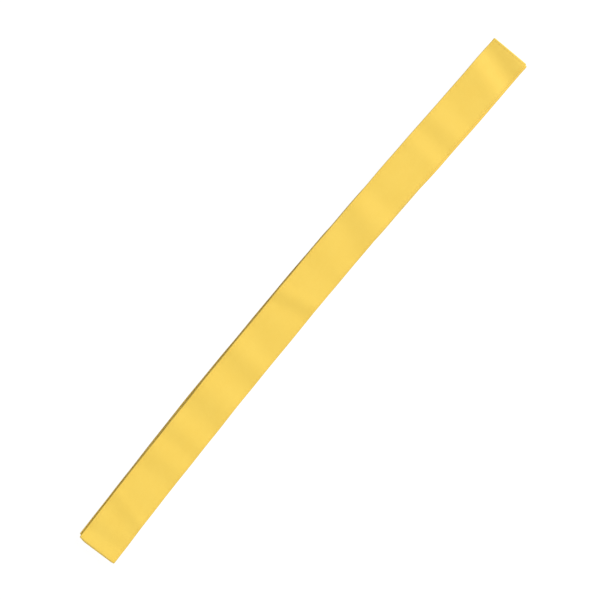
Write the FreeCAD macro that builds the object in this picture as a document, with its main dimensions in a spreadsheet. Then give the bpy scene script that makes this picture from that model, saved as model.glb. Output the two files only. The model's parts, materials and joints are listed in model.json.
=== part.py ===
"""Martial arts belt, folded flat in four layers like an accordion.

The belt is one long sleeve of cotton cloth closed over two plies of interlining. A row of stitches
runs along each long edge and another runs across each end. Folded, it lies as four runs, one on
the other, joined by three folds. A belt has to bend there, so each long piece of it is divided at
the folds, into its four runs and its three bends.

Frame: +X along the belt, +Z up, and the origin is under the middle of the folded belt's box.
Layer 1 lies on the ground and layer 4 is on top. Folds 1 and 3 are at the -X end and fold 2 is at
the +X end, where both ends of the belt lie as well.

The belt bows a little sideways, so a run is its cross-section turned about a far upright axis, the
bow's centre. A place along a run is the length of arc from the middle of layer 4. A bend is the
same cross-section turned half round about its fold's level axis.
"""
import FreeCAD, Part
import math
import os

import Sketcher

SIZES = {
    "belt_width": 41.0,
    "layer_height": 2.2,
    "layer_gap": 0.3,
    "folded_length": 626.0,
    "bow_radius": 8700.0,
    "edge_round": 0.9,
    "cover_cloth": 0.45,
    "seam_inset": 2.3,
    "thread_width": 0.5,
    "thread_height": 0.22,
    "channel_width": 0.6,
    "channel_depth": 0.25,
    "fold_clearance": 0.15,
    "lower_fold_inset": 2.4,
    "upper_fold_inset": 0.0,
    "hidden_tip_inset": 7.0,
    "cut_margin": 1.0,
    "skew_layer_4": 0.0,
    "skew_layer_3": -0.157,
    "skew_layer_2": -0.371,
    "skew_layer_1": -0.330,
}

# A section's sides and the places along the belt, as expressions on the sheet.
BOW = "Sizes.bow_radius"
HALF_WIDTH = "Sizes.belt_width / 2"
HEIGHT = "Sizes.layer_height"
CLOTH = "Sizes.cover_cloth"
PITCH = "(Sizes.layer_height + Sizes.layer_gap)"
PLY_HEIGHT = "(Sizes.layer_height / 2 - Sizes.cover_cloth)"
PLY_WIDTH = "(Sizes.belt_width - 2 * Sizes.edge_round)"
SEAM_LINE = "(Sizes.belt_width / 2 - Sizes.seam_inset)"
BEND_REACH = "(Sizes.layer_height + Sizes.layer_gap / 2)"

TIP_4 = "(Sizes.folded_length / 2)"
TIP_1 = f"({TIP_4} - Sizes.hidden_tip_inset)"
FOLD_PLACE = {
    1: f"({BEND_REACH} - {TIP_4} + Sizes.lower_fold_inset)",
    2: f"({TIP_4} - {BEND_REACH} - Sizes.upper_fold_inset)",
    3: f"({BEND_REACH} - {TIP_4})",
}
AT_NEAR_END = {1: True, 2: False, 3: True}
FRONT_IS_UP = {1: False, 2: True, 3: False, 4: True}
FRONT_IS_OUTSIDE = {1: True, 2: False, 3: True}
SIDES = {"left": "1", "right": "-1"}
FACES = ("lower", "upper")
RUN_ENDS = {
    1: (f"({FOLD_PLACE[1]} + Sizes.fold_clearance)", TIP_1),
    2: (f"({FOLD_PLACE[1]} + Sizes.fold_clearance)", f"({FOLD_PLACE[2]} - Sizes.fold_clearance)"),
    3: (f"({FOLD_PLACE[3]} + Sizes.fold_clearance)", f"({FOLD_PLACE[2]} - Sizes.fold_clearance)"),
    4: (f"({FOLD_PLACE[3]} + Sizes.fold_clearance)", TIP_4),
}
LAYERS_WITH_A_TIP = (1, 4)


def make_sheet(document):
    """The driving dimensions, in millimetres and degrees, each under its own alias."""
    made = document.addObject("Spreadsheet::Sheet", "Sizes")
    for row, (alias, value) in enumerate(SIZES.items(), start=1):
        made.set(f"A{row}", alias)
        made.set(f"B{row}", str(value))
        made.setAlias(f"B{row}", alias)
    document.recompute()
    return made


doc = FreeCAD.newDocument("MartialArtsBelt")
sizes = make_sheet(doc)
reader = doc.addObject("App::FeaturePython", "Reader")
reader.addProperty("App::PropertyFloat", "Result")


def value_of(expression):
    """What an expression on the sheet comes to."""
    reader.setExpression("Result", expression)
    doc.recompute([reader])
    return float(reader.Result)


# Sketches and the features that turn them.


def new_body(label):
    body = doc.addObject("PartDesign::Body", label)
    body.Label = label
    return body


def section_sketch(body, name, turn="0"):
    """A sketch on the body's own YZ plane, turned about its upright axis by so many degrees."""
    sketch = body.newObject("Sketcher::SketchObject", name)
    plane = next(f for f in body.Origin.OriginFeatures if f.Role == "YZ_Plane")
    sketch.AttachmentSupport = [(plane, "")]
    sketch.MapMode = "FlatFace"
    about_upright = FreeCAD.Rotation(FreeCAD.Vector(0, 1, 0), 1.0)
    sketch.AttachmentOffset = FreeCAD.Placement(FreeCAD.Vector(), about_upright)
    sketch.setExpression("AttachmentOffset.Rotation.Angle", turn)
    return sketch


def bind(sketch, constraint, name, expression):
    """Adds a dimension to a sketch and binds it to the sheet."""
    index = sketch.addConstraint(constraint)
    sketch.renameConstraint(index, name)
    sketch.setExpression(f"Constraints.{name}", expression)


def place_outline(sketch, name, left_point, bottom_point, left, bottom):
    """Dimensions from the sketch's origin to an outline's left and bottom sides."""
    from_left = Sketcher.Constraint("DistanceX", -1, 1, *left_point, value_of(left))
    from_bottom = Sketcher.Constraint("DistanceY", -1, 1, *bottom_point, value_of(bottom))
    bind(sketch, from_left, f"{name}_left", left)
    bind(sketch, from_bottom, f"{name}_bottom", bottom)


def square_sides(sketch, first):
    """The bottom and top sides are level, and the two between them are upright."""
    for level in (first, first + 2):
        sketch.addConstraint(Sketcher.Constraint("Horizontal", level))
        sketch.addConstraint(Sketcher.Constraint("Vertical", level + 1))


def draw_rectangle(sketch, name, left, bottom, width, height):
    """A rectangle whose place and size are expressions on the sheet."""
    x0, y0 = value_of(left), value_of(bottom)
    x1, y1 = x0 + value_of(width), y0 + value_of(height)
    corners = [FreeCAD.Vector(x, y, 0) for x, y in ((x0, y0), (x1, y0), (x1, y1), (x0, y1))]
    first = sketch.GeometryCount
    for k in range(4):
        sketch.addGeometry(Part.LineSegment(corners[k], corners[(k + 1) % 4]), False)
    for k in range(4):
        following = first + (k + 1) % 4
        sketch.addConstraint(Sketcher.Constraint("Coincident", first + k, 2, following, 1))
    square_sides(sketch, first)
    place_outline(sketch, name, (first, 1), (first, 1), left, bottom)
    wide = Sketcher.Constraint("DistanceX", first, 1, first, 2, x1 - x0)
    tall = Sketcher.Constraint("DistanceY", first + 1, 1, first + 1, 2, y1 - y0)
    bind(sketch, wide, f"{name}_width", width)
    bind(sketch, tall, f"{name}_height", height)


def draw_rounded(sketch, name, left, bottom, width, height, radius):
    """A rectangle with round corners: its bottom, right, top and left sides, then its corners."""
    x0, y0, r = value_of(left), value_of(bottom), value_of(radius)
    x1, y1 = x0 + value_of(width), y0 + value_of(height)
    sides = [
        (FreeCAD.Vector(x0 + r, y0, 0), FreeCAD.Vector(x1 - r, y0, 0)),
        (FreeCAD.Vector(x1, y0 + r, 0), FreeCAD.Vector(x1, y1 - r, 0)),
        (FreeCAD.Vector(x1 - r, y1, 0), FreeCAD.Vector(x0 + r, y1, 0)),
        (FreeCAD.Vector(x0, y1 - r, 0), FreeCAD.Vector(x0, y0 + r, 0)),
    ]
    centres = [(x1 - r, y0 + r), (x1 - r, y1 - r), (x0 + r, y1 - r), (x0 + r, y0 + r)]
    first = sketch.GeometryCount
    for begin, end in sides:
        sketch.addGeometry(Part.LineSegment(begin, end), False)
    for k, (x, y) in enumerate(centres):
        circle = Part.Circle(FreeCAD.Vector(x, y, 0), FreeCAD.Vector(0, 0, 1), r)
        start = math.radians(270 + 90 * k)
        sketch.addGeometry(Part.ArcOfCircle(circle, start, start + math.pi / 2), False)
    for k in range(4):
        side, corner, following = first + k, first + 4 + k, first + (k + 1) % 4
        sketch.addConstraint(Sketcher.Constraint("Tangent", side, 2, corner, 1))
        sketch.addConstraint(Sketcher.Constraint("Tangent", corner, 2, following, 1))
    square_sides(sketch, first)
    for k in range(1, 4):
        sketch.addConstraint(Sketcher.Constraint("Equal", first + 4, first + 4 + k))
    place_outline(sketch, name, (first + 3, 2), (first, 1), left, bottom)
    wide = Sketcher.Constraint("DistanceX", first + 3, 2, first + 1, 1, x1 - x0)
    tall = Sketcher.Constraint("DistanceY", first, 1, first + 2, 2, y1 - y0)
    bind(sketch, wide, f"{name}_width", width)
    bind(sketch, tall, f"{name}_height", height)
    bind(sketch, Sketcher.Constraint("Radius", first + 4, r), f"{name}_radius", radius)


def turned(body, name, sketch, axis, angle, cut=False):
    """Turns a sketch about its own V_Axis, upright, or H_Axis, level."""
    kind = "PartDesign::Groove" if cut else "PartDesign::Revolution"
    feature = body.newObject(kind, name)
    feature.Profile = sketch
    feature.ReferenceAxis = (sketch, [axis])
    feature.setExpression("Angle", angle)
    return feature


def cut_turned(body, name, sketch, axis, angle):
    """A turned cut that has to take material away."""
    doc.recompute()
    before = body.Shape.Volume
    turned(body, name, sketch, axis, angle, cut=True)
    doc.recompute()
    if not body.Shape.Volume < before * (1 - 1e-6):
        raise RuntimeError(f"{body.Label}: {name} cuts nothing")


def degrees_at(place):
    """The turn about the bow's centre that reaches a place along the belt."""
    return f"-({place}) / {BOW} * 180 / pi"


def degrees_between(near, far):
    return f"(({far}) - ({near})) / {BOW} * 180 / pi"


# The belt's cross-section. Across is measured from the bow's centre in a run, and from the belt's
# middle in a bend. Up is measured from a run's underside, and from the fold's axis in a bend.


def draw_cover(sketch, middle, base):
    left = f"{middle} - {HALF_WIDTH}"
    draw_rounded(sketch, "cover", left, base, "Sizes.belt_width", HEIGHT, "Sizes.edge_round")


def draw_cavity(sketch, middle, base):
    left = f"{middle} - {HALF_WIDTH} + {CLOTH}"
    bottom = f"{base} + {CLOTH}"
    width = f"Sizes.belt_width - 2 * {CLOTH}"
    height = f"{HEIGHT} - 2 * {CLOTH}"
    draw_rounded(sketch, "cavity", left, bottom, width, height, f"Sizes.edge_round - {CLOTH}")


def draw_ply(sketch, middle, base, upper):
    bottom = f"{base} + {CLOTH}"
    if upper:
        bottom = f"{bottom} + {PLY_HEIGHT}"
    draw_rectangle(sketch, "ply", f"{middle} - {PLY_WIDTH} / 2", bottom, PLY_WIDTH, PLY_HEIGHT)


def channel_bottom(base, face):
    return base if face == "lower" else f"{base} + {HEIGHT} - Sizes.channel_depth"


def thread_bottom(base, face):
    """Thread lies on the floor of its channel, just under the cloth's surface."""
    if face == "lower":
        return f"{base} + Sizes.channel_depth - Sizes.thread_height"
    return channel_bottom(base, face)


def draw_seam_channels(sketch, middle, base):
    for side, sign in SIDES.items():
        left = f"{middle} + {sign} * {SEAM_LINE} - Sizes.channel_width / 2"
        for face in FACES:
            bottom = channel_bottom(base, face)
            size = ("Sizes.channel_width", "Sizes.channel_depth")
            draw_rectangle(sketch, f"channel_{side}_{face}", left, bottom, *size)


def draw_seam_thread(sketch, middle, base, side):
    left = f"{middle} + {SIDES[side]} * {SEAM_LINE} - Sizes.thread_width / 2"
    for face in FACES:
        bottom = thread_bottom(base, face)
        size = ("Sizes.thread_width", "Sizes.thread_height")
        draw_rectangle(sketch, f"thread_{side}_{face}", left, bottom, *size)


# Runs: the four straight lengths of the belt, which bow about the bow's centre.


def tip_row(layer):
    """The place of the row of stitches across a belt end, and the row's half length."""
    place = f"({RUN_ENDS[layer][1]} - Sizes.seam_inset)"
    return place, f"({SEAM_LINE} + Sizes.thread_width / 2)"


def seam_end(layer):
    """Where a run's edge seams end at the +X end: at a belt end, the row across it."""
    far = RUN_ENDS[layer][1]
    if layer in LAYERS_WITH_A_TIP:
        return f"({far} - Sizes.seam_inset - Sizes.channel_width / 2)"
    return far


def make_run_cover(layer):
    body = new_body(f"layer_{layer}_cover")
    near, far = RUN_ENDS[layer]
    outline = section_sketch(body, f"outline_{layer}", degrees_at(far))
    draw_cover(outline, BOW, "0")
    turned(body, f"sleeve_{layer}", outline, "V_Axis", degrees_between(near, far))

    open_near = f"({near} - Sizes.cut_margin)"
    has_tip = layer in LAYERS_WITH_A_TIP
    cavity_far = f"({far} - {CLOTH})" if has_tip else f"({far} + Sizes.cut_margin)"
    cavity = section_sketch(body, f"cavity_{layer}", degrees_at(cavity_far))
    draw_cavity(cavity, BOW, "0")
    sweep = degrees_between(open_near, cavity_far)
    cut_turned(body, f"hollow_{layer}", cavity, "V_Axis", sweep)

    channel_far = seam_end(layer) if has_tip else f"({far} + Sizes.cut_margin)"
    channels = section_sketch(body, f"channels_{layer}", degrees_at(channel_far))
    draw_seam_channels(channels, BOW, "0")
    sweep = degrees_between(open_near, channel_far)
    cut_turned(body, f"edge_channels_{layer}", channels, "V_Axis", sweep)

    if has_tip:
        place, half_length = tip_row(layer)
        end = f"({place} + Sizes.channel_width / 2)"
        row = section_sketch(body, f"row_{layer}", degrees_at(end))
        for face in FACES:
            size = (f"2 * ({half_length} + Sizes.channel_width / 4)", "Sizes.channel_depth")
            left = f"{BOW} - {size[0]} / 2"
            draw_rectangle(row, f"row_{face}", left, channel_bottom("0", face), *size)
        sweep = degrees_between("0", "Sizes.channel_width")
        cut_turned(body, f"row_channels_{layer}", row, "V_Axis", sweep)
    return body


def make_run_ply(layer, side, upper):
    body = new_body(f"layer_{layer}_{side}_ply")
    near, far = RUN_ENDS[layer]
    if layer in LAYERS_WITH_A_TIP:
        far = f"({far} - {CLOTH})"
    sketch = section_sketch(body, f"{side}_ply_{layer}", degrees_at(far))
    draw_ply(sketch, BOW, "0", upper)
    turned(body, f"{side}_wadding_{layer}", sketch, "V_Axis", degrees_between(near, far))
    return body


def make_run_seam(layer, side):
    body = new_body(f"layer_{layer}_{side}_seam")
    near, far = RUN_ENDS[layer][0], seam_end(layer)
    sketch = section_sketch(body, f"{side}_seam_{layer}", degrees_at(far))
    draw_seam_thread(sketch, BOW, "0", side)
    turned(body, f"{side}_stitches_{layer}", sketch, "V_Axis", degrees_between(near, far))
    return body


def make_tip_seam(layer):
    """The row of thread across a belt end, on both of its faces."""
    body = new_body(f"layer_{layer}_tip_seam")
    place, half_length = tip_row(layer)
    end = f"({place} + Sizes.thread_width / 2)"
    row = section_sketch(body, f"tip_row_{layer}", degrees_at(end))
    for face in FACES:
        size = (f"2 * {half_length}", "Sizes.thread_height")
        left = f"{BOW} - {half_length}"
        draw_rectangle(row, f"thread_{face}", left, thread_bottom("0", face), *size)
    sweep = degrees_between("0", "Sizes.thread_width")
    turned(body, f"tip_stitches_{layer}", row, "V_Axis", sweep)
    return body


def make_run(layer):
    front_up = FRONT_IS_UP[layer]
    pieces = [
        make_run_cover(layer),
        make_run_ply(layer, "front", front_up),
        make_run_ply(layer, "back", not front_up),
        make_run_seam(layer, "left"),
        make_run_seam(layer, "right"),
    ]
    if layer in LAYERS_WITH_A_TIP:
        pieces.append(make_tip_seam(layer))
    return pieces


# Folds: the belt's section turned half round about a level axis, midway between two layers.

FOLD_BASE = "Sizes.layer_gap / 2"
HALF_TURN = "180"


def make_fold_cover(fold):
    body = new_body(f"fold_{fold}_cover")
    ring = section_sketch(body, f"fold_ring_{fold}")
    draw_cover(ring, "0", FOLD_BASE)
    draw_cavity(ring, "0", FOLD_BASE)
    turned(body, f"fold_sleeve_{fold}", ring, "H_Axis", HALF_TURN)
    channels = section_sketch(body, f"fold_channels_{fold}")
    draw_seam_channels(channels, "0", FOLD_BASE)
    cut_turned(body, f"fold_edge_channels_{fold}", channels, "H_Axis", HALF_TURN)
    return body


def make_fold_ply(fold, side, outside):
    body = new_body(f"fold_{fold}_{side}_ply")
    sketch = section_sketch(body, f"fold_{side}_ply_{fold}")
    draw_ply(sketch, "0", FOLD_BASE, outside)
    turned(body, f"fold_{side}_wadding_{fold}", sketch, "H_Axis", HALF_TURN)
    return body


def make_fold_seams(fold):
    body = new_body(f"fold_{fold}_seams")
    sketch = section_sketch(body, f"fold_threads_{fold}")
    for side in SIDES:
        draw_seam_thread(sketch, "0", FOLD_BASE, side)
    turned(body, f"fold_stitches_{fold}", sketch, "H_Axis", HALF_TURN)
    return body


def make_fold(fold):
    front_outside = FRONT_IS_OUTSIDE[fold]
    return [
        make_fold_cover(fold),
        make_fold_ply(fold, "front", front_outside),
        make_fold_ply(fold, "back", not front_outside),
        make_fold_seams(fold),
    ]


# Where the pieces lie. Each layer is turned a little about the fold that joins it to the next.


def arc_point(place):
    """A place on a run's middle line, seen from the bow's centre."""
    turn = place / sizes.bow_radius
    return FreeCAD.Vector(math.sin(turn), math.cos(turn), 0) * sizes.bow_radius


def turn_about(point, degrees):
    return FreeCAD.Placement(FreeCAD.Vector(), FreeCAD.Rotation(FreeCAD.Vector(0, 0, 1), degrees), point)


def lay_layers():
    """Each layer's placement in plan and each fold's middle point, from the top layer down."""
    skews = {n: getattr(sizes, f"skew_layer_{n}") for n in RUN_ENDS}
    lay = {4: FreeCAD.Placement(FreeCAD.Vector(0, -sizes.bow_radius, 0), FreeCAD.Rotation())}
    middles = {}
    for n in (3, 2, 1):
        middles[n] = lay[n + 1].multVec(arc_point(value_of(FOLD_PLACE[n])))
        lay[n] = turn_about(middles[n], skews[n] - skews[n + 1]) * lay[n + 1]
    headings = {}
    for n, middle in middles.items():
        bow_turn = math.degrees(value_of(FOLD_PLACE[n]) / sizes.bow_radius)
        headings[n] = (skews[n] + skews[n + 1]) / 2 - bow_turn
    return lay, middles, headings


def set_down(runs, folds):
    """Puts every piece in its place, then moves the whole belt onto the origin."""
    lay, middles, headings = lay_layers()
    pitch = value_of(PITCH)
    for n, pieces in runs.items():
        lift = FreeCAD.Placement(FreeCAD.Vector(0, 0, (n - 1) * pitch), FreeCAD.Rotation())
        for piece in pieces:
            piece.Placement = lift * lay[n]
    axes = {}
    for n, pieces in folds.items():
        centre = middles[n] + FreeCAD.Vector(0, 0, n * pitch - sizes.layer_gap / 2)
        half_turn = 180 if AT_NEAR_END[n] else 0
        heading = FreeCAD.Rotation(FreeCAD.Vector(0, 0, 1), headings[n] + half_turn)
        for piece in pieces:
            piece.Placement = FreeCAD.Placement(centre, heading)
        level = math.radians(headings[n])
        axes[n] = (centre, FreeCAD.Vector(-math.sin(level), math.cos(level), 0))
    doc.recompute()
    every = [piece for pieces in (*runs.values(), *folds.values()) for piece in pieces]
    box = FreeCAD.BoundBox()
    for piece in every:
        box.add(piece.Shape.optimalBoundingBox(False, False))
    onto_origin = FreeCAD.Vector(-box.Center.x, -box.Center.y, -box.ZMin)
    for piece in every:
        placed = piece.Placement
        placed.Base = placed.Base + onto_origin
        piece.Placement = placed
    doc.recompute()
    return every, {n: (centre + onto_origin, along) for n, (centre, along) in axes.items()}, box


def check_document(pieces):
    """Stops if any object failed or any piece has no sound shape."""
    for found in doc.Objects:
        if {"Invalid", "Error"} & set(found.State):
            raise RuntimeError(f"{found.Name} failed: {found.State}")
    for piece in pieces:
        shape = piece.Shape
        if shape.isNull() or not shape.isValid() or not shape.Solids or shape.Volume <= 0:
            raise RuntimeError(f"{piece.Label} has no sound shape")


def write_pieces(pieces):
    os.makedirs("parts", exist_ok=True)
    for piece in pieces:
        piece.Shape.exportStep(f"parts/{piece.Label}.step")
        print(f"{piece.Label}: {len(piece.Shape.Solids)} solids, {piece.Shape.Volume:.1f} mm3")


runs_made = {layer: make_run(layer) for layer in RUN_ENDS}
folds_made = {fold: make_fold(fold) for fold in FOLD_PLACE}
all_pieces, fold_axes, folded_box = set_down(runs_made, folds_made)
check_document(all_pieces)
write_pieces(all_pieces)

for number, (axis_point, axis_direction) in fold_axes.items():
    print(f"fold {number} axis passes {axis_point} along {axis_direction}")
print(f"box {folded_box.XLength:.3f} x {folded_box.YLength:.3f} x {folded_box.ZLength:.3f} mm")
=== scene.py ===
import json
import math
from functools import partial

import bmesh
import bpy
import numpy as np
from mathutils import Matrix, Vector


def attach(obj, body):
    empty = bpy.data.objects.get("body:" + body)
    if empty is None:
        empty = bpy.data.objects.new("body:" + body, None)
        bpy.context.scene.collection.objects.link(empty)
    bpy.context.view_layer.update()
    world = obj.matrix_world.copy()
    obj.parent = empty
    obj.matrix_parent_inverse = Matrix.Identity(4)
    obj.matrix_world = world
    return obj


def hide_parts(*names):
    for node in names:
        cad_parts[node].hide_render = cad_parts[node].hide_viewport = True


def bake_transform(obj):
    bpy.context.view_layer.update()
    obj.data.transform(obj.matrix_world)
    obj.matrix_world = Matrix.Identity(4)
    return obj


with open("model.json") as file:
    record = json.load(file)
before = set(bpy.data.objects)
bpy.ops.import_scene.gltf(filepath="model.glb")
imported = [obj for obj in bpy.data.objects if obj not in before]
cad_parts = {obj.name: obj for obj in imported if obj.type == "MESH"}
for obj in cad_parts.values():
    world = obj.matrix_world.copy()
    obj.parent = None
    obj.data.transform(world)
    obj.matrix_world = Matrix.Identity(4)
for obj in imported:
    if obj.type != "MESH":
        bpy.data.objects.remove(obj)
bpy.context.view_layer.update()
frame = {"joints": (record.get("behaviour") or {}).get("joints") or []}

# The belt lies in four layers, joined by three folds. Layer 1 is at the bottom. A place on it has
# three coordinates, in metres: along, from the middle of the top layer toward +X; across, from the
# belt's middle line toward its left (+Y) edge; and up, from the middle of a layer's thickness.

MM = 0.001
LEFT, RIGHT = 1, -1
HALF_WIDTH = 20.5 * MM
THICK = 2.2 * MM
HALF_THICK = THICK / 2
GAP = 0.3 * MM
STACK = 4 * THICK + 3 * GAP
HALF_LENGTH = 313 * MM
BOW_RADIUS = 8.7
LOWER_FOLD_INSET = 2.4 * MM
HIDDEN_TIP_INSET = 7 * MM

# A fold's bend turns about an axis between its two layers. REACH is its outer radius, and
# BEND_MIDDLE the radius of the middle of its thickness. A fold's place is that of its axis.
REACH = THICK + GAP / 2
BEND_MIDDLE = (THICK + GAP) / 2
FOLD_PLACE = {
    1: REACH - HALF_LENGTH + LOWER_FOLD_INSET,
    2: HALF_LENGTH - REACH,
    3: REACH - HALF_LENGTH,
}
FOLDS_AT_NEAR_END = (1, 3)
TOP_FOLD = 3
RUN_ENDS = {
    1: (FOLD_PLACE[1], HALF_LENGTH - HIDDEN_TIP_INSET),
    2: (FOLD_PLACE[1], FOLD_PLACE[2]),
    3: (FOLD_PLACE[3], FOLD_PLACE[2]),
    4: (FOLD_PLACE[3], HALF_LENGTH),
}
LAYERS_WITH_A_TIP = (1, 4)
FRONT_IS_UP = {1: False, 2: True, 3: False, 4: True}

CLOTH = 0.45 * MM
EDGE_ROUND = 1.0 * MM
SEAM_INSET = 2.3 * MM
SEAM = HALF_WIDTH - SEAM_INSET
STITCH = 3.8 * MM


def smooth(t):
    """0 up to t = 0 and 1 from t = 1, with a smooth rise between."""
    t = np.clip(t, 0.0, 1.0)
    return t * t * (3 - 2 * t)


# Where each layer lies in plan. Each fold's joint gives a point of the two layers it joins, and the
# mean of their two directions. A layer's skew is its turn from the top layer, in radians.


def heading(joint):
    """Direction of the belt at a fold, whose axis lies across it."""
    x, y, _ = joint["axis"]
    return math.atan2(-x, y) if y > 0 else math.atan2(x, -y)


joints = {int(j["name"][-1]): j for j in frame["joints"]}
anchor_fold = {1: 1, 2: 2, 3: 3, 4: 3}
skew = {4: 0.0}
for n in (3, 2, 1):
    skew[n] = 2 * (heading(joints[n]) + FOLD_PLACE[n] / BOW_RADIUS) - skew[n + 1]


def plan(n, along, across):
    """World x and y of a place on layer n."""
    fold = anchor_fold[n]
    fold_x, fold_y, _ = joints[fold]["pos_m"]
    turn, start = along / BOW_RADIUS, FOLD_PLACE[fold] / BOW_RADIUS
    ahead = (BOW_RADIUS + across) * np.sin(turn) - BOW_RADIUS * math.sin(start)
    aside = (BOW_RADIUS + across) * np.cos(turn) - BOW_RADIUS * math.cos(start)
    cosine, sine = math.cos(skew[n]), math.sin(skew[n])
    return fold_x + cosine * ahead - sine * aside, fold_y + sine * ahead + cosine * aside


def layer_middle(n):
    return HALF_THICK + (n - 1) * (THICK + GAP)


# The folded stack isn't quite flat: soft ridges and hollows run across it. The whole stack is
# stretched upward by the same share, so its layers never meet. Each ripple has its place along the
# belt, its spread, its height (a hollow's is negative), all in mm, and its slant.

RIPPLES = (
    (-299, 6, -0.7, -0.1),
    (-278, 8, -0.4, 0.2),
    (-265, 5, 0.4, 0.2),
    (-224, 8, -0.5, 0.0),
    (-207, 10, 0.6, 0.0),
    (-190, 7, -0.4, 0.0),
    (-176, 9, 0.5, 0.1),
    (-156, 11, -0.7, 0.0),
    (-132, 12, 0.8, 0.0),
    (-106, 12, -0.7, 0.1),
    (-85, 8, 0.6, 0.0),
    (-66, 10, -0.5, 0.3),
    (-23, 7, -0.5, -0.2),
    (-9, 6, 0.7, -0.2),
    (22, 8, -0.4, 0.0),
    (67, 12, -0.6, 0.6),
    (93, 12, 0.9, 0.1),
    (115, 9, -0.5, 0.0),
    (177, 7, 0.4, 0.1),
    (194, 8, -0.5, 0.2),
    (210, 8, 0.5, 0.0),
    (232, 10, -0.5, 0.3),
    (273, 9, 0.7, 0.3),
    (292, 9, -1.1, 0.3),
    (313, 8, 0.9, 0.3),
)
UNEVENNESS = 0.04 * MM
UNEVEN_ACROSS, UNEVEN_ALONG, UNEVEN_SLANT = 5.2 * MM, 17 * MM, 31 * MM


def loft(x, y):
    """How much higher the top of the stack is at a place than if it lay flat."""
    beside = y + x * x / (2 * BOW_RADIUS)
    cells = np.sin(beside / UNEVEN_ACROSS + x / UNEVEN_SLANT) * np.sin(x / UNEVEN_ALONG)
    height = UNEVENNESS * cells
    for place, spread, rise, slant in RIPPLES:
        q = (x - (place * MM + slant * beside)) / (spread * MM)
        height = height + rise * MM * np.exp(-q * q / 2)
    return height


def settle(x, y, z):
    """The finished place of a point of the flat stack."""
    return np.stack([x, y, z * (1 + loft(x, y) / STACK)], axis=-1)


# How far each layer strays to its left, in mm, at some places along it. Two layers stray alike at
# the fold that joins them.
SWAYS = {
    1: ((-306, 0), (-148, 1.5), (-30, 1.5), (50, 1.5), (106, -0.2), (200, 0), (306, 1.0)),
    2: ((-306, 0), (-148, 0.3), (60, 0.3), (110, 0.4), (180, 0), (240, 0), (309, 0.8)),
    3: ((-309, 0), (-230, 0.8), (105, 1.7), (185, -0.5), (240, -0.4), (309, 0.8)),
    4: ((-309, 0), (255, 0), (306, 0.7)),
}

# The small waviness of a sewn belt's edges. Each wave has its height, the distance in which it goes
# through one radian, and its shift from layer to layer. The waves die out near a run's ends.
WAVES = ((0.10 * MM, 21 * MM, 1.7), (0.07 * MM, 8.3 * MM, 0.9))
WAVES_FADE = 30 * MM


def sway(n, along):
    value = np.zeros_like(along)
    for (start, left), (end, next_left) in zip(SWAYS[n], SWAYS[n][1:]):
        share = smooth((along - start * MM) / ((end - start) * MM))
        value = value + (next_left - left) * MM * share
    return value


def wander(n, along):
    """How far a layer's middle line strays: its sway and its waves."""
    near, far = RUN_ENDS[n]
    inside = smooth((along - near) / WAVES_FADE) * smooth((far - along) / WAVES_FADE)
    waves = sum(height * np.sin(along / length + shift * n) for height, length, shift in WAVES)
    return sway(n, along) + waves * inside


def on_run(n, along, across, up):
    x, y = plan(n, along, across + wander(n, along))
    return settle(x, y, layer_middle(n) + up)


# The top fold's bend is the belt's rounded nose. It stands out further on its left, and each corner
# starts this far across, is this wide and is drawn in by this share.
NOSE_LEAN = 0.22
NOSE_CORNERS = {LEFT: (13 * MM, 8 * MM, 0.50), RIGHT: (17 * MM, 4 * MM, 0.16)}
BLUNTNESS = 0.8


def nose_share(across):
    """How far the top fold's bend stands out at a place across it, as a share of its height."""
    share = 1.0 + NOSE_LEAN * np.clip(across / HALF_WIDTH, -1, 1)
    for sign, (start, width, drawn_in) in NOSE_CORNERS.items():
        share = share - drawn_in * smooth((sign * across - start) / width)
    return share


def on_bend(k, turn, across, out):
    """A place on fold k's bend, from the lower layer at turn -90 degrees to the upper at 90."""
    share = (1 + np.sin(turn)) / 2
    strayed = across + sway(k, np.full_like(across, FOLD_PLACE[k]))
    lower_x, lower_y = plan(k, FOLD_PLACE[k], strayed)
    upper_x, upper_y = plan(k + 1, FOLD_PLACE[k], strayed)
    facing = heading(joints[k])
    side = -1.0 if k in FOLDS_AT_NEAR_END else 1.0
    radius = BEND_MIDDLE + out
    stands_out = nose_share(across) if k == TOP_FOLD else 1.0
    forward = side * radius * np.cos(turn) ** BLUNTNESS * stands_out
    x = lower_x + (upper_x - lower_x) * share + forward * math.cos(facing)
    y = lower_y + (upper_y - lower_y) * share + forward * math.sin(facing)
    return settle(x, y, joints[k]["pos_m"][2] + radius * np.sin(turn))


def on_arc(k, arc, across, out):
    """A place on fold k's bend, where arc is the distance round it in place of the turn."""
    return on_bend(k, arc / REACH, across, out)


# The sleeve's cross-section: places across the belt in mm, denser at the seams and the round edges.

HALF_SECTION = (
    0, 3.2, 6.4, 9.4, 11.9, 13.8, 15.2, 16.2, 16.9, 17.45, 17.85, 18.2, 18.55, 18.9, 19.25,
    19.5, 19.8, 20.05, 20.26, 20.4, 20.475,
)
ACROSS = np.array([-a for a in HALF_SECTION[:0:-1]] + list(HALF_SECTION)) * MM
EDGE_TURN_WIDTH, EDGE_TURN_FADE = 1.3 * MM, 1.1 * MM


def section():
    """Places across and sides (1 above, -1 below, 0 at the edge), once round the section."""
    across = np.concatenate([[-HALF_WIDTH], ACROSS, [HALF_WIDTH], ACROSS[::-1]])
    side = np.concatenate([[0], np.ones(len(ACROSS)), [0], -np.ones(len(ACROSS))])
    return across, side


def round_off(place, edge):
    """The half thickness at a place, as a share: less than 1 only at the round before the edge."""
    past = np.clip((place - (edge - EDGE_ROUND)) / EDGE_ROUND, 0, 1)
    return np.sqrt(1 - past * past)


def edge_fall(across):
    return round_off(np.abs(across), HALF_WIDTH)


def tip_fall(n, along):
    return round_off(along, RUN_ENDS[n][1]) if n in LAYERS_WITH_A_TIP else np.ones_like(along)


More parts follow.
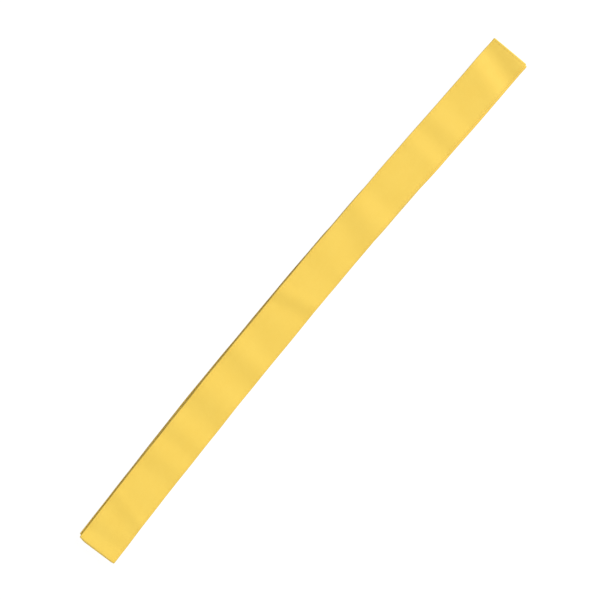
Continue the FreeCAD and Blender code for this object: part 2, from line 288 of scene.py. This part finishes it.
def edge_turn(across):
    """1 where the cloth turns round a long edge, 0 on its flat faces."""
    return smooth((np.abs(across) - (HALF_WIDTH - EDGE_TURN_WIDTH)) / EDGE_TURN_FADE)


# The cloth sinks along each row of stitches, and gathers beside the edge seams.

GROOVE = 0.12 * MM
GROOVE_SPREAD = 0.62 * MM
PUCKER = 0.20
ROW_FADE = 0.4 * MM


def groove(from_row, along_row):
    """How far the cloth sinks beside a row of stitches, more and less along each stitch."""
    pucker = 1 - PUCKER + PUCKER * np.cos(2 * math.pi * along_row / STITCH)
    return GROOVE * pucker * np.exp(-((from_row / GROOVE_SPREAD) ** 2))


def dip(n, along, across):
    """How far a run's cloth sinks at its rows of stitches. A row fades where it meets another."""
    aside = np.abs(across)
    side_row = groove(aside - SEAM, along)
    if n not in LAYERS_WITH_A_TIP:
        return side_row
    from_tip_row = RUN_ENDS[n][1] - along - SEAM_INSET
    side_row = side_row * smooth((from_tip_row + ROW_FADE) / (2 * ROW_FADE))
    tip_row = groove(from_tip_row, across) * smooth((SEAM + ROW_FADE - aside) / (2 * ROW_FADE))
    return np.maximum(side_row, tip_row)


# A gather starts beside the seam and dies out toward the belt's middle. Its two waves are given in
# stitches, and they drift past each other along the belt.
GATHER_HEIGHT = 0.035 * MM
GATHER_REACH, GATHER_START = 3.2 * MM, 0.6 * MM
GATHER_FROM_NEAR_END, GATHER_FROM_FAR_END = 12 * MM, 6 * MM
GATHER_DRIFT, GATHER_DRIFT_LENGTH = 1.3, 41 * MM
SHORT_GATHER, LONG_GATHER, LONG_GATHER_SHARE = 2, 3.3, 0.6


def gather(n, along, across):
    """Height of the fine gathers that run inward from the edge seams."""
    near, far = RUN_ENDS[n]
    ends = smooth((along - near) / GATHER_FROM_NEAR_END) * smooth((far - along) / GATHER_FROM_FAR_END)
    inward = SEAM - np.abs(across)
    fade = np.exp(-np.clip(inward, 0, 1) / GATHER_REACH) * smooth(inward / GATHER_START)
    shift = np.sin(along / GATHER_DRIFT_LENGTH + n) * GATHER_DRIFT + np.sign(across)
    stitches = 2 * math.pi * along / STITCH
    short_wave = np.sin(stitches / SHORT_GATHER + shift)
    long_wave = LONG_GATHER_SHARE * np.sin(stitches / LONG_GATHER - 2 * shift)
    return GATHER_HEIGHT * (short_wave + long_wave) * fade * ends


def face_height(n, along, across, side):
    """Height of a run's outer face from the layer's middle."""
    tall = HALF_THICK * edge_fall(across) * tip_fall(n, along)
    return side * (tall - dip(n, along, across) + gather(n, along, across))


# Meshes. Each is a set of rings joined into a skin.

SHARP_ANGLE = math.radians(50)


def grid_faces(rows, columns, first=0, flip=False):
    """Quads of a grid of rings, each ring closed on itself."""
    row, column = np.meshgrid(np.arange(rows - 1), np.arange(columns), indexing="ij")
    here = first + row * columns + column
    beside = first + row * columns + (column + 1) % columns
    quads = np.stack([here, beside, beside + columns, here + columns], axis=-1).reshape(-1, 4)
    return quads[:, ::-1] if flip else quads


def grid_uv(along, around, total, flip=False):
    """Around and along the belt, in metres, for each corner of a grid's quads."""
    row, column = np.meshgrid(np.arange(len(along) - 1), np.arange(len(around)), indexing="ij")
    wrapped = np.append(around, total)
    corners = [(column, row), (column + 1, row), (column + 1, row + 1), (column, row + 1)]
    uv = np.stack([np.stack([wrapped[i], along[j]], -1) for i, j in corners], axis=-2)
    uv = uv.reshape(-1, 4, 2)
    return uv[:, ::-1] if flip else uv


def rim_faces(outer_first, inner_first, count, flip=False):
    """Closes a sleeve's cut end, from its outer ring to its inner one."""
    here = np.arange(count)
    after = (here + 1) % count
    corners = [outer_first + here, outer_first + after, inner_first + after, inner_first + here]
    quads = np.stack(corners, -1)
    return quads[:, ::-1] if flip else quads


def cap_faces(first, across_count, flip=False):
    """Closes a flattened ring by joining its upper places to its lower ones."""
    total = 2 * across_count + 2
    far_edge = first + across_count + 1
    top = [first + i for i in range(across_count + 2)]
    bottom = [first] + [first + total - i for i in range(1, across_count + 1)] + [far_edge]
    faces = []
    for i in range(across_count + 1):
        corners = [top[i], top[i + 1], bottom[i + 1], bottom[i]]
        kept = [v for j, v in enumerate(corners) if v not in corners[:j]]
        faces.append(kept[::-1] if flip else kept)
    return faces


def way_round(across, up):
    """Distance round a section of each of its places, and the whole way round."""
    ring = np.stack([across, up], -1)
    steps = np.linalg.norm(np.roll(ring, -1, axis=0) - ring, axis=1)
    return np.concatenate([[0], np.cumsum(steps)[:-1]]), steps.sum()


class Skin:
    """Gathers the faces of one mesh, and the places of their corners on the cloth."""

    def __init__(self):
        self.faces, self.uv = [], []

    def add(self, faces, uv=None):
        """Adds faces. Those that close an end are given no places on the cloth."""
        added = [list(face) for face in faces]
        self.faces += added
        self.uv.append(np.zeros((sum(len(face) for face in added), 2)) if uv is None else uv)

    def make(self, name, points, marks=None):
        """The piece itself. Each mark is a number for every point, which its material reads."""
        mesh = bpy.data.meshes.new(name)
        mesh.from_pydata(points.tolist(), [], self.faces)
        layer = mesh.uv_layers.new(name="Weave")
        layer.data.foreach_set("uv", np.concatenate([u.ravel() for u in self.uv]).astype(np.float32))
        for key, values in (marks or {}).items():
            mark = mesh.attributes.new(key, "FLOAT", "POINT")
            mark.data.foreach_set("value", values.astype(np.float32))
        mesh.polygons.foreach_set("use_smooth", [True] * len(mesh.polygons))
        sharpen(mesh)
        piece = bpy.data.objects.new(name, mesh)
        bpy.context.scene.collection.objects.link(piece)
        return piece


def sharpen(mesh):
    """Turns all faces outward, and marks the edges that are sharper than a round would be."""
    work = bmesh.new()
    work.from_mesh(mesh)
    bmesh.ops.recalc_face_normals(work, faces=work.faces)
    for edge in work.edges:
        if len(edge.link_faces) == 2 and edge.calc_face_angle() > SHARP_ANGLE:
            edge.smooth = False
    work.to_mesh(mesh)
    work.free()
    mesh.update()


# The cover: a sleeve of cloth, one for each run and each bend.

RUN_STEP = STITCH / 5
OUTER_STATIONS_PER_INNER = 6
TIP_ROUND = EDGE_ROUND * np.sin(np.radians([18, 34, 48, 60, 70, 78]))
BEND_TURNS = np.radians(np.linspace(-90, 90, 37))


def run_stations(n):
    """Places along a run, closer together in the round of a tip."""
    near, far = RUN_ENDS[n]
    if n not in LAYERS_WITH_A_TIP:
        return np.linspace(near, far, int(round((far - near) / RUN_STEP)) + 1)
    flat_end = far - EDGE_ROUND
    plain = np.linspace(near, flat_end, int(round((flat_end - near) / RUN_STEP)) + 1)
    return np.concatenate([plain, flat_end + TIP_ROUND])


def inner_stations(n, stations):
    """Places along a run's inner face, which stops short of a tip's round."""
    if n in LAYERS_WITH_A_TIP:
        return stations[:-len(TIP_ROUND)][::OUTER_STATIONS_PER_INNER]
    kept = stations[::OUTER_STATIONS_PER_INNER]
    return kept if kept[-1] == stations[-1] else np.append(kept, stations[-1])


def inner_face(across, side):
    """Across and up of a sleeve's inner face, for places across its outer one."""
    return across * (HALF_WIDTH - CLOTH) / HALF_WIDTH, (HALF_THICK - CLOTH) * edge_fall(across) * side


def join_sleeve(name, outer, inner, places, close_far_end, across, sunk):
    """A sleeve's mesh. Its outer and inner faces each have their places along, with a ring of points
    at every one. It marks how far each outer point has sunk and how far round an edge it lies."""
    ring_across, side = section()
    around, total = way_round(ring_across, side * HALF_THICK * edge_fall(ring_across))
    count = len(ring_across)
    outer_places, inner_places = places
    inner_first = len(outer_places) * count
    skin = Skin()
    skin.add(grid_faces(len(outer_places), count), grid_uv(outer_places, around, total))
    skin.add(
        grid_faces(len(inner_places), count, inner_first, flip=True),
        grid_uv(inner_places, around, total, flip=True),
    )
    skin.add(rim_faces(0, inner_first, count, flip=True))
    last_inner = inner_first + (len(inner_places) - 1) * count
    close_far_end(skin, inner_first - count, last_inner, count)
    unmarked = np.zeros(len(inner_places) * count)
    # The material paints shade by these marks: darker in the stitch grooves and round the long edges.
    marks = {
        "sunk": np.concatenate([(sunk / GROOVE).ravel(), unmarked]),
        "edge": np.concatenate([edge_turn(across).ravel(), unmarked]),
    }
    return skin.make(name, np.concatenate([outer.reshape(-1, 3), inner.reshape(-1, 3)]), marks)


def open_end(skin, last_outer, last_inner, count):
    """A run or bend that goes on into the next one."""
    skin.add(rim_faces(last_outer, last_inner, count))


def sewn_end(skin, last_outer, last_inner, _count):
    """The belt's own end, which is closed outside and inside."""
    skin.add(cap_faces(last_outer, len(ACROSS)))
    skin.add(cap_faces(last_inner, len(ACROSS), flip=True))


def sleeve_run(n):
    ring_across, ring_side = section()
    outer_places = run_stations(n)
    along, across = np.meshgrid(outer_places, ring_across, indexing="ij")
    narrowed = across * (1 - (1 - tip_fall(n, along)) * EDGE_ROUND / HALF_WIDTH)
    outer = on_run(n, along, narrowed, face_height(n, along, across, ring_side))
    sunk = dip(n, along, across)
    inner_places = inner_stations(n, outer_places)
    inner_along, inner_across = np.meshgrid(inner_places, ring_across, indexing="ij")
    inner = on_run(n, inner_along, *inner_face(inner_across, ring_side))
    close_far_end = sewn_end if n in LAYERS_WITH_A_TIP else open_end
    places = (outer_places, inner_places)
    return join_sleeve(f"layer_{n}_sleeve", outer, inner, places, close_far_end, across, sunk)


def sleeve_bend(k):
    ring_across, ring_side = section()
    turn, across = np.meshgrid(BEND_TURNS, ring_across, indexing="ij")
    sunk = groove(np.abs(across) - SEAM, np.full_like(across, FOLD_PLACE[k]))
    outer = on_bend(k, turn, across, ring_side * (HALF_THICK * edge_fall(across) - sunk))
    inner = on_bend(k, turn, *inner_face(across, ring_side))
    places = FOLD_PLACE[k] + BEND_TURNS * REACH
    return join_sleeve(f"fold_{k}_sleeve", outer, inner, (places, places), open_end, across, sunk)


# Interlining: two plies of wadding, one on the other in the sleeve, with a faintly lumpy surface.

PLY_HALF_WIDTH = 19.3 * MM
PLY_HEIGHT = HALF_THICK - CLOTH
PLY_ACROSS = np.array([-19.2, -18.5, -15, -11, -7, -3.5, 0, 3.5, 7, 11, 15, 18.5, 19.2]) * MM
PLY_CLEARANCE = 0.02
PLY_STATIONS = 190
PLY_SHORT_OF_TIP = 1.6 * MM
LUMP_HEIGHT = 0.006 * MM
LUMP_ALONG, LUMP_ACROSS = 2.9 * MM, 2.3 * MM


def ply_section(upper):
    """Places across and up, once round a ply."""
    middle = [0.5 * PLY_HEIGHT]
    top = [(1 - PLY_CLEARANCE) * PLY_HEIGHT] * len(PLY_ACROSS)
    bottom = [PLY_CLEARANCE * PLY_HEIGHT] * len(PLY_ACROSS)
    across = np.concatenate([[-PLY_HALF_WIDTH], PLY_ACROSS, [PLY_HALF_WIDTH], PLY_ACROSS[::-1]])
    up = np.array(middle + top + middle + bottom)
    return across, up if upper else up - PLY_HEIGHT


def lumps(along, across):
    """Two crossing waves, whose shifts and lengths keep them from repeating in rows."""
    a, b = along / LUMP_ALONG, across / LUMP_ACROSS
    return LUMP_HEIGHT * (np.sin(a + 1.3 * np.sin(b)) + np.sin(1.7 * b - 0.8 * a))


def ply(name, upper, stations, place):
    """One ply, put in place by place(along, across, up). Its lumps are pressed into its faces."""
    ring_across, ring_up = ply_section(upper)
    along, across = np.meshgrid(stations, ring_across, indexing="ij")
    middle = (0.5 if upper else -0.5) * PLY_HEIGHT
    up = ring_up - np.sign(ring_up - middle) * np.abs(lumps(along, across))
    points = place(along, across, up).reshape(-1, 3)
    around, total = way_round(ring_across, ring_up)
    count, rows = len(ring_across), len(stations)
    skin = Skin()
    skin.add(grid_faces(rows, count), grid_uv(stations, around, total))
    skin.add(cap_faces(0, len(PLY_ACROSS), flip=True))
    skin.add(cap_faces((rows - 1) * count, len(PLY_ACROSS)))
    return skin.make(name, points)


# Stitches: short lengths of thread that lie on the cloth and dive into it at both ends. A stitch's
# rings are given as shares of its length.

THREAD_WIDE = 0.23 * MM
THREAD_TALL = 0.17 * MM
THREAD_AROUND = 1.4 * MM
THREAD_SIDES = 8
RINGS = np.array([0, 0.06, 0.16, 0.32, 0.5, 0.68, 0.84, 0.94, 1.0])
STITCH_SHARE = 0.90
DIVE = 0.30 * MM
CROWN = 0.03 * MM
THINNER_ENDS = 0.35


def stitch_row(start, end, face):
    """The stitches of one straight row: start and end (along, across) of each, and its face."""
    start, end = np.array(start, float), np.array(end, float)
    count = max(1, int(round(np.linalg.norm(end - start) / STITCH)))
    step = (end - start) / count
    begin = start + np.outer(np.arange(count) + (1 - STITCH_SHARE) / 2, step)
    return [(b, b + step * STITCH_SHARE, face) for b in begin]


def both_faces(start, end):
    return stitch_row(start, end, 1) + stitch_row(start, end, -1)


def edge_stitches(n, sign):
    near, far = RUN_ENDS[n]
    if n in LAYERS_WITH_A_TIP:
        far = far - SEAM_INSET
    return both_faces((near, sign * SEAM), (far, sign * SEAM))


def tip_stitches(n):
    along = RUN_ENDS[n][1] - SEAM_INSET
    return both_faces((along, -SEAM), (along, SEAM))


def bend_stitches():
    """The stitches on the outside of a bend in each edge seam: along is the arc's length."""
    arc = math.pi * REACH
    rows = []
    for sign in (LEFT, RIGHT):
        rows += stitch_row((-arc / 2, sign * SEAM), (arc / 2, sign * SEAM), 1)
    return rows


def stitch_rings(rows):
    """Along, across and up of every ring's points, for every stitch."""
    begin, end, face = (np.array(values, float) for values in zip(*rows))
    length = np.linalg.norm(end - begin, axis=1, keepdims=True)
    direction = (end - begin) / length
    lateral = np.stack([-direction[:, 1], direction[:, 0]], -1)
    angle = np.linspace(0, 2 * math.pi, THREAD_SIDES, endpoint=False)
    to_end = np.abs(2 * RINGS - 1)
    crown = HALF_THICK - GROOVE + CROWN + CROWN * (1 - to_end**2) - DIVE * to_end**7
    thick = 1 - THINNER_ENDS * to_end**4
    middle = begin[:, None, :] + direction[:, None, :] * (RINGS[None, :, None] * length[:, None, :])
    aside = THREAD_WIDE * np.cos(angle)[None, None, :] * thick[None, :, None]
    flat = middle[:, :, None, :] + lateral[:, None, None, :] * aside[..., None]
    up = crown[None, :, None] + THREAD_TALL * np.sin(angle)[None, None, :] * thick[None, :, None]
    return flat[..., 0], flat[..., 1], np.broadcast_to(up, flat.shape[:3]) * face[:, None, None]


def sew(name, rows, place):
    """One mesh of all the stitches given, put in place by place(along, across, up)."""
    rings = len(RINGS)
    firsts = np.arange(len(rows)) * rings * THREAD_SIDES
    around = np.arange(THREAD_SIDES) / THREAD_SIDES * THREAD_AROUND
    one = grid_faces(rings, THREAD_SIDES)
    one_uv = grid_uv(RINGS * STITCH, around, THREAD_AROUND)
    skin = Skin()
    skin.add(
        (one[None] + firsts[:, None, None]).reshape(-1, 4),
        np.tile(one_uv, (len(rows), 1, 1)),
    )
    for first in firsts:
        ring = first + np.arange(THREAD_SIDES)
        skin.add([ring[::-1], ring + (rings - 1) * THREAD_SIDES])
    return skin.make(name, place(*stitch_rings(rows)).reshape(-1, 3))


# Materials.


def opaque(color):
    """A plain colour with its alpha. A colour from another node passes through."""
    return (*color, 1.0) if isinstance(color, tuple) else color


class Nodes:
    """Builds one node material, a line for each node."""

    def __init__(self, name):
        self.material = bpy.data.materials.new(name)
        self.material.use_nodes = True
        self.tree = self.material.node_tree
        self.tree.nodes.clear()

    def fill(self, socket, value):
        """Links a socket to another one, or gives it a value."""
        if isinstance(value, bpy.types.NodeSocket):
            self.tree.links.new(value, socket)
        else:
            socket.default_value = value

    def add(self, kind, inputs=None, **settings):
        node = self.tree.nodes.new(kind)
        for key, value in settings.items():
            setattr(node, key, value)
        for key, value in (inputs or {}).items():
            self.fill(node.inputs[key], value)
        return node

    def math(self, operation, a, b=0.0, c=0.0):
        return self.add("ShaderNodeMath", {0: a, 1: b, 2: c}, operation=operation).outputs[0]

    def mix(self, share, color, other):
        """Color with a share of the other color in it."""
        inputs = {0: share, 6: opaque(color), 7: opaque(other)}
        return self.add("ShaderNodeMix", inputs, data_type="RGBA", blend_type="MIX").outputs[2]

    def weave(self):
        """Place on the cloth: around and along the belt, in metres."""
        return self.add("ShaderNodeUVMap", uv_map="Weave").outputs[0]

    def mark(self, name, share):
        """A share that follows one of the marks that the mesh carries."""
        mark = self.add("ShaderNodeAttribute", attribute_name=name).outputs["Fac"]
        return self.math("MULTIPLY", mark, share)

    def noise(self, place, around, along, detail=2.0, rough=0.5):
        """Noise with so many cells a metre around and along the belt."""
        inputs = {0: place, 1: (around, along, 1.0)}
        cells = self.add("ShaderNodeVectorMath", inputs, operation="MULTIPLY").outputs[0]
        inputs = {"Vector": cells, "Scale": 1.0, "Detail": detail, "Roughness": rough}
        return self.add("ShaderNodeTexNoise", inputs).outputs[0]

    def share(self, noise, most):
        """A share from 0 to most that follows the middle part of a noise."""
        inputs = {"Value": noise, "From Min": 0.3, "From Max": 0.7, "To Min": 0.0, "To Max": most}
        return self.add("ShaderNodeMapRange", inputs).outputs[0]

    def bump(self, height, strength, distance):
        inputs = {"Strength": strength, "Distance": distance, "Height": height}
        return self.add("ShaderNodeBump", inputs).outputs[0]

    def surface(self, **inputs):
        """Ends the material in a shader. An underscore stands for a space in an input's name."""
        named = {key.replace("_", " "): value for key, value in inputs.items()}
        shader = self.add("ShaderNodeBsdfPrincipled", named)
        self.add("ShaderNodeOutputMaterial", {0: shader.outputs[0]})
        return self.material


# The cloth's weave and its slubs, which are the thicker places of its threads.
WEAVE_THREAD = 0.42 * MM
WEAVE_CONTRAST = 1.6
# BETWEEN_THREADS is the share of painted shade between the weave's threads.
BETWEEN_THREADS = 0.22
SLUB_RELIEF = 0.9
CLOTH_ROUGHNESS, SLUB_ROUGHNESS = 0.62, 0.16

# The sewing thread's twist.
SEWING_TWIST = 0.55 * MM
SEWING_TWIST_LEAN = 1.1
# BETWEEN_STRANDS is the share of painted shade between the twist's strands.
BETWEEN_STRANDS = 0.5


def weave_height(m, weave):
    """Height of a plain weave, 0 to 1, as round ridges, and 1 where the warp is on top."""
    parts = m.add("ShaderNodeSeparateXYZ", {0: weave})
    u = m.math("MULTIPLY", parts.outputs[0], math.pi / WEAVE_THREAD)
    v = m.math("MULTIPLY", parts.outputs[1], math.pi / WEAVE_THREAD)
    sine_u, sine_v = m.math("SINE", u), m.math("SINE", v)
    checker = m.math("MULTIPLY_ADD", m.math("MULTIPLY", sine_u, sine_v), WEAVE_CONTRAST, 0.5)
    warp_on_top = m.add("ShaderNodeClamp", {0: checker}).outputs[0]
    warp, weft = m.math("ABSOLUTE", sine_u), m.math("ABSOLUTE", sine_v)
    lean = m.math("SUBTRACT", warp, weft)
    return m.math("MULTIPLY_ADD", lean, warp_on_top, weft), warp_on_top


def cover_material(name, color, deep, pale, edge_shade):
    m = Nodes(name)
    weave = m.weave()
    height, warp_on_top = weave_height(m, weave)
    warp_slubs = m.noise(weave, around=1500, along=45)
    weft_slubs = m.noise(weave, around=60, along=1300)
    lean = m.math("SUBTRACT", warp_slubs, weft_slubs)
    slubs = m.math("MULTIPLY_ADD", lean, warp_on_top, weft_slubs)
    broad = m.noise(weave, around=30, along=22, detail=3.0)
    cloudy = m.noise(weave, around=140, along=90, detail=3.0)
    body = m.mix(m.share(slubs, most=0.45), color, pale)
    body = m.mix(m.share(broad, most=0.30), body, deep)
    body = m.mix(m.share(cloudy, most=0.16), body, pale)
    # Deeper where the cloth sinks at the rows of stitches: painted shade in the grooves.
    body = m.mix(m.mark("sunk", share=0.06), body, deep)
    # Browner where the cloth turns round each long edge: painted shade on the edge turn.
    body = m.mix(m.mark("edge", share=0.45), body, edge_shade)
    # Deeper between the weave's threads: painted shade in the hollows of the weave.
    between_threads = m.math("SUBTRACT", 1.0, height)
    body = m.mix(m.math("MULTIPLY", between_threads, BETWEEN_THREADS), body, deep)
    relief = m.math("MULTIPLY_ADD", slubs, SLUB_RELIEF, height)
    return m.surface(
        Base_Color=body, Normal=m.bump(relief, strength=0.6, distance=0.07 * MM),
        Roughness=m.math("MULTIPLY_ADD", slubs, SLUB_ROUGHNESS, CLOTH_ROUGHNESS),
        Sheen_Weight=0.12, Sheen_Roughness=0.45, Specular_IOR_Level=0.30,
    )


def thread_material(name, color, deep):
    m = Nodes(name)
    weave = m.weave()
    parts = m.add("ShaderNodeSeparateXYZ", {0: weave})
    around = m.math("MULTIPLY", parts.outputs[0], SEWING_TWIST_LEAN)
    lean = m.math("ADD", around, parts.outputs[1])
    twist = m.math("SINE", m.math("MULTIPLY", lean, 2 * math.pi / SEWING_TWIST))
    fuzz = m.noise(weave, around=3000, along=2200)
    ridge = m.math("MULTIPLY_ADD", twist, 0.5, 0.5)
    # Deeper between the twist's strands: painted shade in the thread's hollows.
    between_strands = m.math("SUBTRACT", 1.0, ridge)
    body = m.mix(m.math("MULTIPLY", between_strands, BETWEEN_STRANDS), color, deep)
    body = m.mix(m.share(fuzz, most=0.2), body, deep)
    return m.surface(
        Base_Color=body, Normal=m.bump(ridge, strength=0.6, distance=0.05 * MM),
        Roughness=0.42, Sheen_Weight=0.08, Specular_IOR_Level=0.5,
    )


def wadding_material(name, color, deep):
    m = Nodes(name)
    weave = m.weave()
    fibres = m.noise(weave, around=1600, along=900, detail=4.0, rough=0.7)
    tufts = m.noise(weave, around=260, along=220, detail=3.0)
    body = m.mix(m.share(fibres, most=0.5), color, deep)
    body = m.mix(m.share(tufts, most=0.3), body, deep)
    height = m.math("ADD", fibres, tufts)
    return m.surface(
        Base_Color=body, Normal=m.bump(height, strength=0.8, distance=0.1 * MM),
        Roughness=0.92, Sheen_Weight=0.25, Specular_IOR_Level=0.25,
    )


def floor_material(name, color, pale):
    """White ground that gives off its own light. Cycles doesn't sample it as a lamp, which would
    make the belt grainy."""
    m = Nodes(name)
    place = m.add("ShaderNodeTexCoord").outputs["Object"]
    grain = m.noise(place, around=40, along=40)
    m.material.cycles.emission_sampling = "NONE"
    return m.surface(
        Base_Color=m.mix(m.share(grain, most=1.0), color, pale),
        Normal=m.bump(grain, strength=0.02, distance=MM),
        Roughness=0.9, Specular_IOR_Level=0.1,
        Emission_Color=(1.0, 1.0, 1.0, 1.0), Emission_Strength=0.96,
    )


# edge_shade is a browner yellow, painted shade round the cover's long edges.
YELLOW = cover_material(
    "yellow_cotton", color=(0.790, 0.542, 0.082), deep=(0.755, 0.494, 0.061),
    pale=(0.815, 0.584, 0.106), edge_shade=(0.590, 0.395, 0.050),
)
THREAD = thread_material("yellow_thread", color=(0.800, 0.542, 0.080), deep=(0.760, 0.497, 0.062))
WADDING = wadding_material("cotton_wadding", color=(0.80, 0.78, 0.70), deep=(0.66, 0.63, 0.54))
FLOOR = floor_material("floor_white", color=(0.08, 0.08, 0.08), pale=(0.09, 0.09, 0.09))

# Making the belt. Each kind of piece has a material and a slot.

COVER = (YELLOW, "cover_cloth")
SEWING = (THREAD, "sewing_thread")
FILLING = (WADDING, "interlining")
SIDE_NAME = {LEFT: "left", RIGHT: "right"}
PLY_NAME = {True: "front", False: "back"}

# Each layer's cover and plies, and the other pieces that count as part of each one's sheet.
covers, plies = {}, {}
cover_trim = {n: [] for n in RUN_ENDS}
ply_bends = {}


def finish_piece(piece, kind, node):
    """Gives a piece its material and hides the CAD node that it stands for."""
    material, slot_name = kind
    piece.data.materials.append(material)
    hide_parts(node)
    return piece


def across_fold(piece):
    """Bakes the piece's place into its mesh; it is not attached to any layer."""
    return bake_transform(piece)


def ply_ends(n):
    """A ply runs as far as its layer, but stops short of the belt's own end."""
    near, far = RUN_ENDS[n]
    return (near, far - PLY_SHORT_OF_TIP) if n in LAYERS_WITH_A_TIP else (near, far)


def make_run(n):
    """One layer's straight run: its cover, its stitches and its two plies."""
    layer = f"layer_{n}"
    place = partial(on_run, n)
    covers[n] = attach(finish_piece(sleeve_run(n), COVER, f"{layer}_cover"), layer)
    seams = [(word, edge_stitches(n, sign)) for sign, word in SIDE_NAME.items()]
    if n in LAYERS_WITH_A_TIP:
        seams.append(("tip", tip_stitches(n)))
    for word, rows in seams:
        row = finish_piece(sew(f"{layer}_{word}_stitches", rows, place), SEWING, f"{layer}_{word}_seam")
        cover_trim[n].append(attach(row, layer))
    stations = np.linspace(*ply_ends(n), PLY_STATIONS)
    for front, word in PLY_NAME.items():
        strip = ply(f"{layer}_{word}_wadding", front == FRONT_IS_UP[n], stations, place)
        plies[n, word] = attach(finish_piece(strip, FILLING, f"{layer}_{word}_ply"), layer)
        ply_bends[n, word] = []


def make_fold(k):
    """One bend: its cover, its stitches and its two plies."""
    fold, upper_layer = f"fold_{k}", k + 1
    cover = finish_piece(sleeve_bend(k), COVER, f"{fold}_cover")
    threads = sew(f"{fold}_stitches", bend_stitches(), partial(on_arc, k))
    finish_piece(threads, SEWING, f"{fold}_seams")
    cover_trim[upper_layer] += [across_fold(cover), across_fold(threads)]
    for front, word in PLY_NAME.items():
        outside = front == FRONT_IS_UP[upper_layer]
        strip = ply(f"{fold}_{word}_wadding", outside, BEND_TURNS, partial(on_bend, k))
        finish_piece(strip, FILLING, f"{fold}_{word}_ply")
        ply_bends[upper_layer, word].append(across_fold(strip))


for n in RUN_ENDS:
    make_run(n)
for k in FOLD_PLACE:
    make_fold(k)

# Stage, light and camera. The camera's angles and the lights' are in degrees.

FLOOR_HALF = 60.0
FLOOR_DROP = 0.1 * MM
SKY_STRENGTH = 0.22
CAMERA_DISTANCE = 1.5
CAMERA_TILT = 8.3
CAMERA_HEADING = 50.57
CAMERA_LENS = 93.78
CAMERA_SEES_FROM, CAMERA_SEES_TO = 0.05, 300
AIM = Vector((-8.0 * MM, 1.4 * MM, STACK / 2))


def make_floor():
    """A floor so wide that its edge is never seen."""
    corners = [(x * FLOOR_HALF, y * FLOOR_HALF, 0) for x, y in ((-1, -1), (1, -1), (1, 1), (-1, 1))]
    mesh = bpy.data.meshes.new("floor")
    mesh.from_pydata(corners, [], [(0, 1, 2, 3)])
    mesh.materials.append(FLOOR)
    floor = bpy.data.objects.new("floor", mesh)
    floor.location = (0, 0, -FLOOR_DROP)
    bpy.context.scene.collection.objects.link(floor)


def light_sky():
    world = bpy.data.worlds.new("studio")
    bpy.context.scene.world = world
    world.use_nodes = True
    background = next(n for n in world.node_tree.nodes if n.type == "BACKGROUND")
    background.inputs["Color"].default_value = (1.0, 1.0, 1.0, 1.0)
    background.inputs["Strength"].default_value = SKY_STRENGTH


def softbox(name, azimuth, elevation, distance, size, power):
    """A square light that looks at the belt. Azimuth is from +X toward +Y."""
    data = bpy.data.lights.new(name, "AREA")
    data.size = size
    data.energy = power
    lamp = bpy.data.objects.new(name, data)
    a, e = math.radians(azimuth), math.radians(elevation)
    toward = Vector((math.cos(a) * math.cos(e), math.sin(a) * math.cos(e), math.sin(e)))
    lamp.location = toward * distance
    lamp.rotation_mode = "QUATERNION"
    lamp.rotation_quaternion = lamp.location.to_track_quat("Z", "Y")
    bpy.context.scene.collection.objects.link(lamp)


def make_camera():
    data = bpy.data.cameras.new("camera")
    data.lens = CAMERA_LENS
    data.clip_start, data.clip_end = CAMERA_SEES_FROM, CAMERA_SEES_TO
    camera = bpy.data.objects.new("camera", data)
    turn = Matrix.Rotation(math.radians(-CAMERA_HEADING), 4, "Z")
    tilt = Matrix.Rotation(math.radians(CAMERA_TILT), 4, "X")
    back = Matrix.Translation((0, 0, CAMERA_DISTANCE))
    camera.matrix_world = Matrix.Translation(AIM) @ turn @ tilt @ back
    bpy.context.scene.collection.objects.link(camera)
    bpy.context.scene.camera = camera
    bpy.context.scene.view_settings.view_transform = "Standard"


make_floor()
light_sky()
softbox("key", azimuth=344, elevation=40, distance=14.0, size=2.5, power=2600)
softbox("fill", azimuth=180, elevation=24, distance=3.0, size=1.5, power=30)
make_camera()
